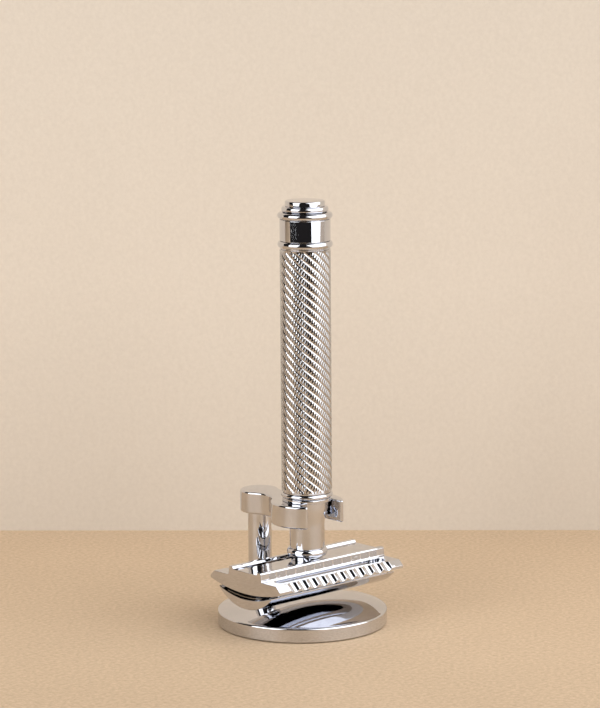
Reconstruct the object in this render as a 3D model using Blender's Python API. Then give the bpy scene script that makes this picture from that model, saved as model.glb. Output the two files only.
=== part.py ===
"""A double-edge safety razor standing head-down in its chromed stand.

Metres, +Z up. The origin is the centre of the stand's underside. X runs along the razor's head.
The post stands behind the razor at +Y and the fork opens towards -Y.
"""

import math

import bmesh
import bpy
from mathutils import Vector

MM = 0.001

# Clearances
FACE_GAP = 0.3 * MM  # between faces that rest on each other
FIT_GAP = 0.12 * MM  # round a piece that sits in a bore

# Stand
HANDLE_Y = -2.05 * MM  # the razor's axis, just in front of the base's centre
POST_Y = 16.5 * MM
BASE_R = 22.0 * MM
BASE_TOP = 3.9 * MM  # at the rim; the top rises from there as a shallow dome
DOME_RISE = 2.2 * MM
DOME_EDGE = BASE_R - 0.7 * MM
SKIRT_LOW = 0.2 * MM  # the base's rim hides most of the pad
PAD_R = 20.6 * MM
PAD_TOP = 0.45 * MM
POST_R = 3.1 * MM
SOCKET_DEPTH = 0.9 * MM
FORK_BOTTOM = 26.95 * MM
FORK_TOP = 32.75 * MM
RING_R = 9.4 * MM
BOSS_R = 5.1 * MM
WAIST_R = 6.5 * MM  # the hollow curve between ring and boss
SLOT_HALF = 5.6 * MM  # the hole and its mouth, wide enough for the flared neck to leave
JAW_ROUND = 0.5 * MM
RIM_BEVEL = 0.4 * MM
STAND_SCREW_R = 1.5 * MM
SCREW_HEAD_R = 2.8 * MM
STUD_LOW = 22.0 * MM
STUD_HIGH = 31.0 * MM

# Head
HEAD_HALF = 21.4 * MM
GUARD_HALF_WIDTH = 13.45 * MM
GUARD_TIP_Z = 13.5 * MM
GUARD_LIP_Z = 14.2 * MM
GUARD_UNDER_Z = 11.5 * MM
WING_Z = 15.55 * MM
WING_EDGE = 12.0 * MM  # where the wing's flat top breaks into the slope
PLATEAU_Z = 17.2 * MM
RIB_Z = 17.85 * MM
CHANNEL_FLOOR = 14.0 * MM
CHANNEL_IN = 7.3 * MM
CHANNEL_OUT = 10.2 * MM
CHANNEL_HALF = 18.6 * MM
NOTCH_COUNT = 11
NOTCH_PITCH = 3.22 * MM
NOTCH_R = 2.1 * MM
NOTCH_DEPTH = 0.5 * MM
CAP_HALF_WIDTH = 10.1 * MM
CAP_BOTTOM = 7.5 * MM
CAP_OUTER_R = 14.2 * MM
CAP_INNER_Z = 10.1 * MM
CAP_TIP_Z = 12.05 * MM
BLADE_LENGTH = 43.0 * MM
BLADE_WIDTH = 22.0 * MM
BLADE_T = 0.1 * MM
BLADE_MID_Z = 10.75 * MM
BLADE_SAG = 1.85 * MM
BLADE_EDGE_HALF = 18.7 * MM
BLADE_TAB_HALF = 6.5 * MM
THREAD_R = 2.45 * MM
THREAD_BORE_R = 2.55 * MM
STUD_TOP = 24.6 * MM
PIN_X = 11.0 * MM
PIN_R = 1.2 * MM
PIN_TOP = 14.2 * MM

# Handle
NECK_BOTTOM = PLATEAU_Z + FACE_GAP
INSERT_R = 3.4 * MM
INSERT_TOP = 27.0 * MM
COLLAR_BOTTOM = FORK_TOP + FACE_GAP
COLLAR_R = 6.7 * MM
COLLAR_TOP = 35.1 * MM
SPIGOT_R = 3.9 * MM
SPIGOT_TOP = 41.0 * MM
GRIP_BOTTOM = COLLAR_TOP + FACE_GAP
GRIP_TOP = 98.0 * MM
GRIP_R = 6.5 * MM
GRIP_BORE_R = 5.0 * MM
ROD_R = 1.5 * MM
BEAD_R = 7.05 * MM
LOWER_RING_TOP = 100.1 * MM
BAND_TOP = 105.5 * MM
BAND_R = 6.5 * MM
UPPER_RING_TOP = 107.4 * MM
KNOB_STEP_R = 6.0 * MM
KNOB_DISC_R = 5.1 * MM
KNOB_TOP = 110.3 * MM
SHANK_R = 3.2 * MM
SHANK_BOTTOM = 92.0 * MM

FINE = 32
COARSE = 24
BASE_SEGMENTS = 64

CHROME = ((0.80, 0.79, 0.77), 0.08, 1.0)
STEEL = ((0.62, 0.62, 0.62), 0.25, 1.0)
BRASS = ((0.72, 0.53, 0.26), 0.30, 1.0)
BLADE_STEEL = ((0.70, 0.71, 0.72), 0.18, 1.0)
RUBBER = ((0.03, 0.03, 0.03), 0.80, 0.0)


def clear_scene():
    for obj in list(bpy.data.objects):
        bpy.data.objects.remove(obj, do_unlink=True)


def make_material(name, look):
    colour, roughness, metallic = look
    material = bpy.data.materials.new(name)
    material.use_nodes = True
    shader = material.node_tree.nodes["Principled BSDF"]
    shader.inputs["Base Color"].default_value = (*colour, 1.0)
    shader.inputs["Roughness"].default_value = roughness
    shader.inputs["Metallic"].default_value = metallic
    return material


def make_object(name, bm, look=None):
    """Turns the bmesh into an object. Without a look it's a cutter."""
    bmesh.ops.recalc_face_normals(bm, faces=bm.faces)
    mesh = bpy.data.meshes.new(name)
    bm.to_mesh(mesh)
    bm.free()
    obj = bpy.data.objects.new(name, mesh)
    bpy.context.collection.objects.link(obj)
    if look is None:
        obj.hide_render = True
        obj.display_type = "WIRE"
    else:
        mesh.materials.append(make_material(name, look))
        mesh.shade_smooth()
        mesh.set_sharp_from_angle(angle=math.radians(35))
    return obj


def cut(obj, cutter):
    modifier = obj.modifiers.new("cut " + cutter.name, "BOOLEAN")
    modifier.operation = "DIFFERENCE"
    modifier.solver = "EXACT"
    modifier.object = cutter


def turned_bmesh(profile, y=0.0, x=0.0, segments=FINE):
    """Spins a closed outline of (radius, height) points about the vertical line through (x, y)."""
    bm = bmesh.new()
    centre = Vector((x, y, 0.0))
    ring = [bm.verts.new(centre + Vector((r, 0.0, z))) for r, z in profile]
    edges = [bm.edges.new((ring[i], ring[(i + 1) % len(ring)])) for i in range(len(ring))]
    edges = [e for e in edges if max((v.co - centre).xy.length for v in e.verts) > 1e-7]
    loose = [e for e in bm.edges if e not in edges]
    bmesh.ops.delete(bm, geom=loose, context="EDGES")
    bmesh.ops.spin(
        bm, geom=list(bm.verts) + list(bm.edges), cent=centre, axis=(0, 0, 1),
        angle=math.tau, steps=segments, use_merge=True,
    )
    bmesh.ops.remove_doubles(bm, verts=bm.verts, dist=1e-6)
    return bm


def turned(name, profile, look, y=0.0, x=0.0, segments=FINE):
    return make_object(name, turned_bmesh(profile, y, x, segments), look)


def arc(cx, cy, radius, start, end, steps):
    """Points on an arc, angles in degrees, both ends included."""
    points = []
    for i in range(steps + 1):
        a = math.radians(start + (end - start) * i / steps)
        points.append((cx + radius * math.cos(a), cy + radius * math.sin(a)))
    return points


def prism_bmesh(outline, low, high, to_3d):
    """A closed prism. to_3d(u, v, w) places outline point (u, v) at depth w."""
    bm = bmesh.new()
    bottom = [bm.verts.new(to_3d(u, v, low)) for u, v in outline]
    top = [bm.verts.new(to_3d(u, v, high)) for u, v in outline]
    bm.faces.new(bottom)
    bm.faces.new(top[::-1])
    for i in range(len(outline)):
        j = (i + 1) % len(outline)
        bm.faces.new((bottom[i], bottom[j], top[j], top[i]))
    return bm


def upright(u, v, w):
    return Vector((u, v, w))


def along_x(u, v, w):
    return Vector((w, HANDLE_Y + u, v))


def cylinder_bmesh(x, y, low, high, radius, segments=24):
    outline = arc(x, y, radius, 0, 360 * (segments - 1) / segments, segments - 1)
    return prism_bmesh(outline, low, high, upright)


def merge_bmesh(target, source):
    """Copies source into target and frees source."""
    mesh = bpy.data.meshes.new("merge")
    source.to_mesh(mesh)
    source.free()
    target.from_mesh(mesh)
    bpy.data.meshes.remove(mesh)


def bead(radius, depth, low, high, steps=6):
    """A round-backed ring's outer edge, bottom to top. depth is how far the edge curls in."""
    middle = (low + high) / 2
    half = (high - low) / 2
    points = []
    for i in range(steps + 1):
        a = math.radians(-90 + 180 * i / steps)
        points.append((radius - depth + depth * math.cos(a), middle + half * math.sin(a)))
    return points


def dome_height(radius):
    sphere = (DOME_EDGE ** 2 + DOME_RISE ** 2) / (2 * DOME_RISE)
    return BASE_TOP + DOME_RISE - sphere + math.sqrt(sphere ** 2 - radius ** 2)


def build_base():
    edge = 0.35 * MM
    low = PAD_TOP + FACE_GAP
    profile = [(0, low), (PAD_R + FACE_GAP, low), (PAD_R + FACE_GAP, SKIRT_LOW), (BASE_R - edge, SKIRT_LOW)]
    profile += [(BASE_R, SKIRT_LOW + edge), (BASE_R, BASE_TOP - edge)]
    profile += [(BASE_R - 0.3 * edge, BASE_TOP - 0.3 * edge), (BASE_R - edge, BASE_TOP)]
    for k in range(7):
        radius = DOME_EDGE * (1 - k / 6)
        profile.append((radius, dome_height(radius)))
    base = turned("base_disc", profile, CHROME, segments=BASE_SEGMENTS)
    socket = turned_bmesh(
        [
            (0, low - 1 * MM),
            (SCREW_HEAD_R + FACE_GAP, low - 1 * MM),
            (SCREW_HEAD_R + FACE_GAP, low + 0.15 * MM),
            (STAND_SCREW_R + FIT_GAP, low + 1.5 * MM),
            (STAND_SCREW_R + FIT_GAP, BASE_TOP - SOCKET_DEPTH),
            (POST_R + FIT_GAP, BASE_TOP - SOCKET_DEPTH),
            (POST_R + FIT_GAP, BASE_TOP + 3 * MM),
            (0, BASE_TOP + 3 * MM),
        ],
        POST_Y, segments=COARSE,
    )
    cut(base, make_object("base socket", socket))

    outline = [(0, 0), (PAD_R, 0), (PAD_R, PAD_TOP), (0, PAD_TOP)]
    pad = turned("base_pad", outline, RUBBER, segments=BASE_SEGMENTS)
    hole = cylinder_bmesh(0, POST_Y, -1 * MM, PAD_TOP + 1 * MM, SCREW_HEAD_R + FACE_GAP)
    cut(pad, make_object("pad hole", hole))

    head_low = low + 0.1 * MM
    screw = turned(
        "base_screw",
        [
            (0, head_low),
            (SCREW_HEAD_R, head_low),
            (SCREW_HEAD_R, head_low + 0.1 * MM),
            (STAND_SCREW_R, low + 1.6 * MM),
            (STAND_SCREW_R, 11.0 * MM),
            (0, 11.0 * MM),
        ],
        STEEL, POST_Y, segments=24,
    )
    hexagon = cylinder_bmesh(0, POST_Y, head_low - 1 * MM, head_low + 0.9 * MM, 1.0 * MM, 6)
    cut(screw, make_object("screw socket", hexagon))


def build_post():
    low = BASE_TOP - SOCKET_DEPTH + FACE_GAP
    high = FORK_BOTTOM + SOCKET_DEPTH - FACE_GAP
    bore = STAND_SCREW_R + FIT_GAP
    chamfer = 0.25 * MM
    turned(
        "stand_post",
        [
            (bore, low),
            (POST_R - chamfer, low),
            (POST_R, low + chamfer),
            (POST_R, high - chamfer),
            (POST_R - chamfer, high),
            (bore, high),
            (bore, STUD_LOW - FACE_GAP),
            (0, STUD_LOW - FACE_GAP),
            (0, 11.3 * MM),
            (bore, 11.3 * MM),
        ],
        CHROME, POST_Y, segments=COARSE,
    )
    turned(
        "fork_stud",
        [(0, STUD_LOW), (STAND_SCREW_R, STUD_LOW), (STAND_SCREW_R, STUD_HIGH), (0, STUD_HIGH)],
        STEEL, POST_Y, segments=24,
    )


def fork_outline():
    """Ring, waist and boss seen from above, with the slot open towards -Y."""
    span = POST_Y - HANDLE_Y
    to_ring = RING_R + WAIST_R
    to_boss = BOSS_R + WAIST_R
    along = (to_ring ** 2 - to_boss ** 2 + span ** 2) / (2 * span)
    side = math.sqrt(to_ring ** 2 - along ** 2)
    ring_touch = math.degrees(math.atan2(along, side))
    boss_touch = math.degrees(math.atan2(along - span, side))
    tip_x = SLOT_HALF + JAW_ROUND
    reach = math.sqrt((RING_R - JAW_ROUND) ** 2 - tip_x ** 2)
    turn = math.degrees(math.atan2(-reach, tip_x))
    tip_y = HANDLE_Y - reach
    points = arc(tip_x, tip_y, JAW_ROUND, -180, turn, 6)
    points += arc(0, HANDLE_Y, RING_R, turn, ring_touch, 14)[1:]
    points += arc(side, HANDLE_Y + along, WAIST_R, 180 + ring_touch, 180 + boss_touch, 8)[1:]
    points += arc(0, POST_Y, BOSS_R, boss_touch, 180 - boss_touch, 14)[1:]
    points += arc(-side, HANDLE_Y + along, WAIST_R, -boss_touch, -ring_touch, 8)[1:]
    points += arc(0, HANDLE_Y, RING_R, 180 - ring_touch, 180 - turn, 14)[1:]
    points += arc(-tip_x, tip_y, JAW_ROUND, 180 - turn, 360, 6)[1:]
    points += arc(0, HANDLE_Y, SLOT_HALF, 180, 0, 18)
    return points


def build_fork():
    bm = prism_bmesh(fork_outline(), FORK_BOTTOM, FORK_TOP, upright)
    rims = [e for e in bm.edges if abs(e.verts[0].co.z - e.verts[1].co.z) < 1e-7]
    bmesh.ops.bevel(bm, geom=rims, offset=RIM_BEVEL, segments=2, profile=0.5, affect="EDGES")
    fork = make_object("fork_arm", bm, CHROME)
    socket = turned_bmesh(
        [
            (0, FORK_BOTTOM - 1 * MM),
            (POST_R + FIT_GAP, FORK_BOTTOM - 1 * MM),
            (POST_R + FIT_GAP, FORK_BOTTOM + SOCKET_DEPTH),
            (STAND_SCREW_R + FIT_GAP, FORK_BOTTOM + SOCKET_DEPTH),
            (STAND_SCREW_R + FIT_GAP, STUD_HIGH + FACE_GAP),
            (0, STUD_HIGH + FACE_GAP),
        ],
        POST_Y, segments=COARSE,
    )
    cut(fork, make_object("fork socket", socket))


def sag_curve(half_width, low, high, steps):
    """Points of an arc through (-half, high), (0, low) and (half, high), from -half to +half."""
    sag = high - low
    radius = (half_width ** 2 + sag ** 2) / (2 * sag)
    points = []
    for i in range(steps + 1):
        u = -half_width + 2 * half_width * i / steps
        points.append((u, low + radius - math.sqrt(radius ** 2 - u ** 2)))
    return points


def guard_outline():
    half = [
        (WING_EDGE, WING_Z),
        (6.95 * MM, WING_Z),
        (6.4 * MM, WING_Z + 0.4 * MM),
        (6.15 * MM, RIB_Z - 0.3 * MM),
        (5.9 * MM, RIB_Z),
        (4.8 * MM, RIB_Z),
        (4.45 * MM, PLATEAU_Z),
    ]
    points = sag_curve(GUARD_HALF_WIDTH, GUARD_UNDER_Z, GUARD_TIP_Z, 20)
    points += [(GUARD_HALF_WIDTH, GUARD_LIP_Z)]
    points += half
    points += [(-u, v) for u, v in reversed(half)]
    points += [(-GUARD_HALF_WIDTH, GUARD_LIP_Z)]
    return points


def channel_cutter():
    """The two long pockets between the plateau and the comb bars."""
    bm = bmesh.new()
    radius = (CHANNEL_OUT - CHANNEL_IN) / 2
    middle = (CHANNEL_OUT + CHANNEL_IN) / 2
    reach = CHANNEL_HALF - radius
    for side in (-1, 1):
        y = HANDLE_Y + side * middle
        outline = arc(reach, y, radius, -90, 90, 8) + arc(-reach, y, radius, 90, 270, 8)
        merge_bmesh(bm, prism_bmesh(outline, CHANNEL_FLOOR, WING_Z + 1 * MM, upright))
    return make_object("channel cutter", bm)


def notch_cutter():
    """Round-bottomed scallops across both comb bars, running down the outer slope."""
    bm = bmesh.new()
    slope = math.atan2(WING_Z - GUARD_LIP_Z, GUARD_HALF_WIDTH - WING_EDGE)
    length = 6 * MM
    offset = NOTCH_R - NOTCH_DEPTH
    middle_u = (GUARD_HALF_WIDTH + WING_EDGE) / 2
    middle_z = (WING_Z + GUARD_LIP_Z) / 2
    first = -(NOTCH_COUNT - 1) / 2 * NOTCH_PITCH
    for side in (-1, 1):
        down = Vector((0, side * math.cos(slope), -math.sin(slope)))
        out = Vector((0, side * math.sin(slope), math.cos(slope)))
        across = Vector((1, 0, 0))
        for i in range(NOTCH_COUNT):
            x = first + i * NOTCH_PITCH
            centre = Vector((x, HANDLE_Y + side * middle_u, middle_z)) + out * offset

            def place(u, v, w):
                return centre + across * u + out * v + down * w

            circle = arc(0, 0, NOTCH_R, 0, 345, 23)
            merge_bmesh(bm, prism_bmesh(circle, -length / 2, length / 2, place))
    return make_object("notch cutter", bm)


def build_guard():
    guard = make_object("guard_plate", prism_bmesh(guard_outline(), -HEAD_HALF, HEAD_HALF, along_x), CHROME)
    cut(guard, channel_cutter())
    cut(guard, notch_cutter())
    holes = cylinder_bmesh(0, HANDLE_Y, GUARD_UNDER_Z - 2 * MM, RIB_Z + 1 * MM, THREAD_R + 0.3 * MM)
    for x in (-PIN_X, PIN_X):
        merge_bmesh(holes, cylinder_bmesh(x, HANDLE_Y, GUARD_UNDER_Z - 2 * MM, PIN_TOP + 0.6 * MM,
                                          PIN_R + 0.25 * MM, 16))
    cut(guard, make_object("guard holes", holes))


def build_cap():
    outer = []
    for i in range(25):
        u = -CAP_HALF_WIDTH + 2 * CAP_HALF_WIDTH * i / 24
        outer.append((u, CAP_BOTTOM + CAP_OUTER_R - math.sqrt(CAP_OUTER_R ** 2 - u ** 2)))
    inner = sag_curve(CAP_HALF_WIDTH - 0.1 * MM, CAP_INNER_Z, CAP_TIP_Z, 16)
    cap = make_object("top_cap", prism_bmesh(outer + inner[::-1], -HEAD_HALF, HEAD_HALF, along_x), CHROME)
    floor = CAP_BOTTOM + 1.1 * MM
    holes = cylinder_bmesh(0, HANDLE_Y, floor, CAP_TIP_Z + 1 * MM, THREAD_R + FIT_GAP)
    for x in (-PIN_X, PIN_X):
        merge_bmesh(holes, cylinder_bmesh(x, HANDLE_Y, floor, CAP_TIP_Z + 1 * MM, PIN_R + FIT_GAP, 16))
    cut(cap, make_object("cap holes", holes))

    low = floor + FACE_GAP
    tip = 0.4 * MM
    turned(
        "cap_stud",
        [(0, low), (THREAD_R, low), (THREAD_R, STUD_TOP - tip), (THREAD_R - tip, STUD_TOP), (0, STUD_TOP)],
        BRASS, HANDLE_Y, segments=24,
    )
    for name, x in (("cap_pin_left", -PIN_X), ("cap_pin_right", PIN_X)):
        turned(
            name,
            [(0, low), (PIN_R, low), (PIN_R, PIN_TOP - tip), (PIN_R - tip, PIN_TOP), (0, PIN_TOP)],
            CHROME, HANDLE_Y, x, segments=16,
        )


def build_blade():
    """A thin strip with cut corners and a centre slot, bent to lie between cap and guard."""
    half = BLADE_WIDTH / 2
    under = sag_curve(half, BLADE_MID_Z, BLADE_MID_Z + BLADE_SAG, 20)
    over = [(u, z + BLADE_T) for u, z in reversed(under)]
    blank = prism_bmesh(under + over, -BLADE_LENGTH / 2, BLADE_LENGTH / 2, along_x)
    blade = make_object("razor_blade", blank, BLADE_STEEL)
    low = BLADE_MID_Z - 1 * MM
    high = BLADE_MID_Z + BLADE_SAG + 1 * MM
    openings = bmesh.new()
    for sx in (-1, 1):
        for sy in (-1, 1):
            x0 = sx * BLADE_EDGE_HALF
            x1 = sx * (BLADE_LENGTH / 2 + 1 * MM)
            y0 = HANDLE_Y + sy * BLADE_TAB_HALF
            y1 = HANDLE_Y + sy * (half + 1 * MM)
            merge_bmesh(openings, prism_bmesh([(x0, y0), (x1, y0), (x1, y1), (x0, y1)], low, high, upright))
    cut(blade, make_object("blade corners", openings))
    slot_x = 15.0 * MM
    slot_y = 0.75 * MM
    slot = [
        (-slot_x, HANDLE_Y - slot_y), (slot_x, HANDLE_Y - slot_y),
        (slot_x, HANDLE_Y + slot_y), (-slot_x, HANDLE_Y + slot_y),
    ]
    cut(blade, make_object("blade slot", prism_bmesh(slot, low, high, upright)))
    holes = cylinder_bmesh(0, HANDLE_Y, low, high, THREAD_R + 0.35 * MM)
    for x in (-PIN_X, PIN_X):
        merge_bmesh(holes, cylinder_bmesh(x, HANDLE_Y, low, high, PIN_R + 0.35 * MM, 16))
    cut(blade, make_object("blade holes", holes))


def build_neck():
    bore = INSERT_R + FIT_GAP
    rod_bore = ROD_R + FIT_GAP
    foot = [(4.15 * MM, NECK_BOTTOM), (4.15 * MM, NECK_BOTTOM + 0.65 * MM)]
    foot += bead(5.15 * MM, 0.6 * MM, NECK_BOTTOM + 0.8 * MM, 20.4 * MM)
    shaft = [
        (4.55 * MM, 20.75 * MM),
        (4.53 * MM, 22.5 * MM),
        (4.53 * MM, 26.5 * MM),
        (4.76 * MM, 27.9 * MM),
        (5.0 * MM, 29.4 * MM),
        (5.15 * MM, 30.5 * MM),
        (5.25 * MM, COLLAR_BOTTOM - 0.1 * MM),
    ]
    top = [
        (SPIGOT_R, COLLAR_BOTTOM - 0.1 * MM),
        (SPIGOT_R, SPIGOT_TOP),
        (rod_bore, SPIGOT_TOP),
        (rod_bore, 37.0 * MM),
        (0, 37.0 * MM),
        (0, INSERT_TOP + FACE_GAP),
        (bore, INSERT_TOP + FACE_GAP),
        (bore, NECK_BOTTOM),
    ]
    turned("handle_neck", foot + shaft + top, CHROME, HANDLE_Y)
    low = NECK_BOTTOM + 0.1 * MM
    turned(
        "thread_insert",
        [(THREAD_BORE_R, low), (INSERT_R, low), (INSERT_R, INSERT_TOP), (THREAD_BORE_R, INSERT_TOP)],
        BRASS, HANDLE_Y, segments=COARSE,
    )


def build_collar():
    seat_bore = 5.45 * MM
    bore = SPIGOT_R + FIT_GAP
    step_top = 33.7 * MM
    profile = [(seat_bore, COLLAR_BOTTOM), (6.2 * MM, COLLAR_BOTTOM), (6.35 * MM, COLLAR_BOTTOM + 0.15 * MM)]
    profile += [(6.35 * MM, step_top - 0.1 * MM), (6.1 * MM, step_top)]
    profile += bead(COLLAR_R, 0.6 * MM, step_top + 0.1 * MM, COLLAR_TOP)
    profile += [(bore, COLLAR_TOP), (bore, COLLAR_BOTTOM + FACE_GAP), (seat_bore, COLLAR_BOTTOM + FACE_GAP)]
    turned("neck_collar", profile, CHROME, HANDLE_Y)


def build_grip():
    edge = 0.25 * MM
    turned(
        "grip_tube",
        [
            (GRIP_BORE_R, GRIP_BOTTOM),
            (GRIP_R - edge, GRIP_BOTTOM),
            (GRIP_R, GRIP_BOTTOM + edge),
            (GRIP_R, GRIP_TOP - edge),
            (GRIP_R - edge, GRIP_TOP),
            (GRIP_BORE_R, GRIP_TOP),
        ],
        CHROME, HANDLE_Y,
    )
    low = 37.0 * MM + FACE_GAP
    high = 95.0 * MM
    turned("tie_rod", [(0, low), (ROD_R, low), (ROD_R, high), (0, high)], STEEL, HANDLE_Y, segments=16)


def build_end():
    bore = SHANK_R + FIT_GAP
    lower_low = GRIP_TOP + 0.25 * MM
    spigot_r = GRIP_BORE_R - FIT_GAP
    profile = [(bore, 93.5 * MM), (spigot_r, 93.5 * MM), (spigot_r, lower_low), (6.4 * MM, lower_low)]
    profile += bead(BEAD_R, 0.7 * MM, lower_low + 0.1 * MM, LOWER_RING_TOP)
    profile += [(bore, LOWER_RING_TOP)]
    turned("lower_ring", profile, CHROME, HANDLE_Y)

    band_low = LOWER_RING_TOP + 0.2 * MM
    edge = 0.15 * MM
    turned(
        "end_band",
        [
            (bore, band_low),
            (BAND_R - edge, band_low),
            (BAND_R, band_low + edge),
            (BAND_R, BAND_TOP - edge),
            (BAND_R - edge, BAND_TOP),
            (bore, BAND_TOP),
        ],
        CHROME, HANDLE_Y,
    )

    upper_low = BAND_TOP + 0.2 * MM
    profile = [(bore, upper_low), (6.35 * MM, upper_low)]
    profile += bead(BEAD_R, 0.75 * MM, upper_low + 0.1 * MM, UPPER_RING_TOP)
    profile += [(bore, UPPER_RING_TOP)]
    turned("upper_ring", profile, CHROME, HANDLE_Y)

    knob_low = UPPER_RING_TOP + 0.2 * MM
    step_top = 108.85 * MM
    rod_bore = ROD_R + FIT_GAP
    profile = [(rod_bore, SHANK_BOTTOM), (SHANK_R, SHANK_BOTTOM), (SHANK_R, knob_low)]
    profile += bead(KNOB_STEP_R, 0.35 * MM, knob_low, step_top, 4)
    profile += [(KNOB_DISC_R - 0.15 * MM, step_top), (KNOB_DISC_R, step_top + 0.15 * MM)]
    profile += [(KNOB_DISC_R, KNOB_TOP - 0.3 * MM), (KNOB_DISC_R - 0.3 * MM, KNOB_TOP), (0, KNOB_TOP)]
    profile += [(0, 95.3 * MM), (rod_bore, 95.3 * MM)]
    turned("end_knob", profile, CHROME, HANDLE_Y)


def main():
    clear_scene()
    build_base()
    build_post()
    build_fork()
    build_cap()
    build_blade()
    build_guard()
    build_neck()
    build_collar()
    build_grip()
    build_end()


main()
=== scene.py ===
"""The looks of the safety razor on its stand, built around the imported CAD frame. Metres, +Z up."""
import math

import bmesh
import bpy
import numpy as np
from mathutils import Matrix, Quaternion, Vector


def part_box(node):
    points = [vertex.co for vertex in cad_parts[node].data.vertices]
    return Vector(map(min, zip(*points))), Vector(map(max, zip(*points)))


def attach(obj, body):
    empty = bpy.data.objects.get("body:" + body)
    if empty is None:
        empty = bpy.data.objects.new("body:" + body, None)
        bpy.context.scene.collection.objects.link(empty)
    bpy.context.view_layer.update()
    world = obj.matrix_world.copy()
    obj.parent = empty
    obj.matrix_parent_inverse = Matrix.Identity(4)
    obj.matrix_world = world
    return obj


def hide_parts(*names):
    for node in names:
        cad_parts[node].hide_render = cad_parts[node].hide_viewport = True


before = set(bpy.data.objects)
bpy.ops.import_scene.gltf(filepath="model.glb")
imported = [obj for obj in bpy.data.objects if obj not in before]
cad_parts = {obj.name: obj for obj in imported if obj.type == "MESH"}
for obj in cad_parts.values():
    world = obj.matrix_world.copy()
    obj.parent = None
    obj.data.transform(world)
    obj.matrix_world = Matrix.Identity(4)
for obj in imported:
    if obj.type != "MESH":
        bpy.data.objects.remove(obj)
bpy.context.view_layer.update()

MM = 0.001


def low_z(node):
    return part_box(node)[0].z


def high_z(node):
    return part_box(node)[1].z


def radius_of(node):
    low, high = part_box(node)
    return (high.x - low.x) / 2


def centre_y(node):
    low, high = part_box(node)
    return (low.y + high.y) / 2


# Sizes that come from the frame
AXIS_Y = centre_y("grip_tube")
POST_Y = centre_y("stand_post")
HEAD_HALF = radius_of("guard_plate")
BASE_R = radius_of("base_disc")
BASE_LOW = low_z("base_disc")
PAD_R = radius_of("base_pad")
PAD_TOP = high_z("base_pad")
POST_R = radius_of("stand_post")
FORK_LOW = low_z("fork_arm")
FORK_TOP = high_z("fork_arm")
RING_R = radius_of("fork_arm")
GUARD_TOP = high_z("guard_plate")
GUARD_LOW = low_z("guard_plate")
GUARD_HALF = (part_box("guard_plate")[1].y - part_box("guard_plate")[0].y) / 2
CAP_LOW = low_z("top_cap")
CAP_TOP = high_z("top_cap")
CAP_HALF = (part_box("top_cap")[1].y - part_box("top_cap")[0].y) / 2
COLLAR_LOW = low_z("neck_collar")
COLLAR_TOP = high_z("neck_collar")
COLLAR_R = radius_of("neck_collar")
GRIP_LOW = low_z("grip_tube")
GRIP_TOP = high_z("grip_tube")
GRIP_R = radius_of("grip_tube")
BEAD_R = radius_of("lower_ring")
RING_TOP = high_z("lower_ring")
BAND_TOP = high_z("end_band")
BAND_R = radius_of("end_band")
UPPER_LOW = low_z("upper_ring")
UPPER_TOP = high_z("upper_ring")
KNOB_TOP = high_z("end_knob")
STUD_R = radius_of("cap_stud")
PIN_X = (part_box("cap_pin_right")[0].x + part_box("cap_pin_right")[1].x) / 2
PIN_R = radius_of("cap_pin_right")

# The photographer's side: where the camera stands, seen from the handle's axis
CAMERA_AZIMUTH = math.radians(-41.85)
CAMERA_DOWN = math.radians(9.74)
CAMERA_ROLL = math.radians(-0.42)
CAMERA_BACK = 745 * MM
CAMERA_SIDE = -1.5 * MM
CAMERA_HEIGHT = 198.7 * MM
CAMERA_LENS = 150.5
RIGHT = Vector((math.cos(CAMERA_AZIMUTH), math.sin(CAMERA_AZIMUTH), 0.0))
AWAY = Vector((-math.sin(CAMERA_AZIMUTH), math.cos(CAMERA_AZIMUTH), 0.0))


def stage_point(right, away, height):
    """A point given as seen from the camera: to its right, away from it and up, from the handle's axis."""
    return Vector((0.0, AXIS_Y, height)) + RIGHT * right + AWAY * away


# ---------------------------------------------------------------- outlines


def arc(cu, cv, radius, start, end, steps):
    """Points on an arc, angles in degrees, both ends included."""
    turns = [math.radians(start + (end - start) * i / steps) for i in range(steps + 1)]
    return [(cu + radius * math.cos(a), cv + radius * math.sin(a)) for a in turns]


def rounded(corners, closed=False, steps=5):
    """An outline from corners (u, v) or (u, v, radius), where the ones with a radius become arcs."""
    points = []
    count = len(corners)
    for i, corner in enumerate(corners):
        at_end = not closed and i in (0, count - 1)
        if len(corner) == 2 or corner[2] <= 0 or at_end:
            points.append((corner[0], corner[1]))
            continue
        p = Vector(corner[:2])
        before = (Vector(corners[i - 1][:2]) - p).normalized()
        after = (Vector(corners[(i + 1) % count][:2]) - p).normalized()
        half = before.angle(after) / 2
        middle = (before + after).normalized()
        centre = p + middle * (corner[2] / math.sin(half))
        start = p + before * (corner[2] / math.tan(half)) - centre
        stop = p + after * (corner[2] / math.tan(half)) - centre
        first = math.atan2(start.y, start.x)
        turn = (math.atan2(stop.y, stop.x) - first + math.pi) % math.tau - math.pi
        points += arc(centre.x, centre.y, corner[2], math.degrees(first), math.degrees(first + turn), steps)
    return points


def bead(radius, depth, low, high, steps=14):
    """The outer edge of a round-backed ring, bottom to top. depth is how far the edge curls in."""
    middle = (low + high) / 2
    half = (high - low) / 2
    turns = [math.radians(-90 + 180 * i / steps) for i in range(steps + 1)]
    return [(radius - depth + depth * math.cos(a), middle + half * math.sin(a)) for a in turns]


def sag_height(u, half_width, low, high):
    """Height at u of the arc through (-half_width, high), (0, low) and (half_width, high)."""
    sag = high - low
    radius = (half_width ** 2 + sag ** 2) / (2 * sag)
    return low + radius - math.sqrt(radius ** 2 - u ** 2)


# ---------------------------------------------------------------- meshes


def new_object(name, verts, faces):
    mesh = bpy.data.meshes.new(name)
    mesh.from_pydata([tuple(v) for v in verts], [], faces)
    mesh.update()
    obj = bpy.data.objects.new(name, mesh)
    bpy.context.scene.collection.objects.link(obj)
    return obj


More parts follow.
